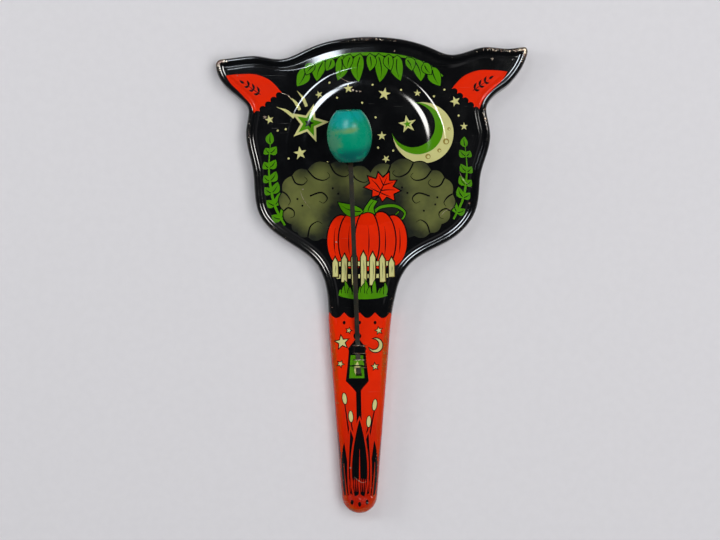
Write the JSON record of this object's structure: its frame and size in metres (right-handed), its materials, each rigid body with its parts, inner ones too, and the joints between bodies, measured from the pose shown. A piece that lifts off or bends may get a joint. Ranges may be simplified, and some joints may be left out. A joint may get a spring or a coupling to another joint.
{
  "type": "tin clacker noisemaker",
  "caption": "Pressed tinplate clacker: an eared head with a raised disc on a tapering channel handle, and a wooden ball on a flat spring strip that knocks on the disc.",
  "frame": {"origin": "centre of the footprint, on the surface that the clacker's hem lies on", "axes": "+Z out of the printed face, +Y from the handle's end towards the crown of the head, +X to the right of the face"},
  "size_m": [0.1504, 0.2294, 0.0355],
  "materials": {
    "litho_tin": "glossy printed tinplate: black, orange-red, green and cream inks, bare on the back",
    "spring_steel": "dull dark oxidised strip steel",
    "painted_wood": "semi-gloss teal paint, worn thin"
  },
  "bodies": {
    "pan": {"tin_body": "litho_tin"},
    "clapper": {"spring_strip": "spring_steel", "wooden_ball": "painted_wood"}
  },
  "joints": [
    {"name": "spring_flex", "type": "hinge", "parent": "pan", "child": "clapper", "pos_m": [-0.0067, -0.03345, 0.00849], "axis": [0.9993, 0.0384, 0], "range_deg": [-1.6, 20], "stiffness_Nm_per_rad": 0.18, "springref_deg": 1.43, "deforming": ["spring_strip"]}
  ]
}
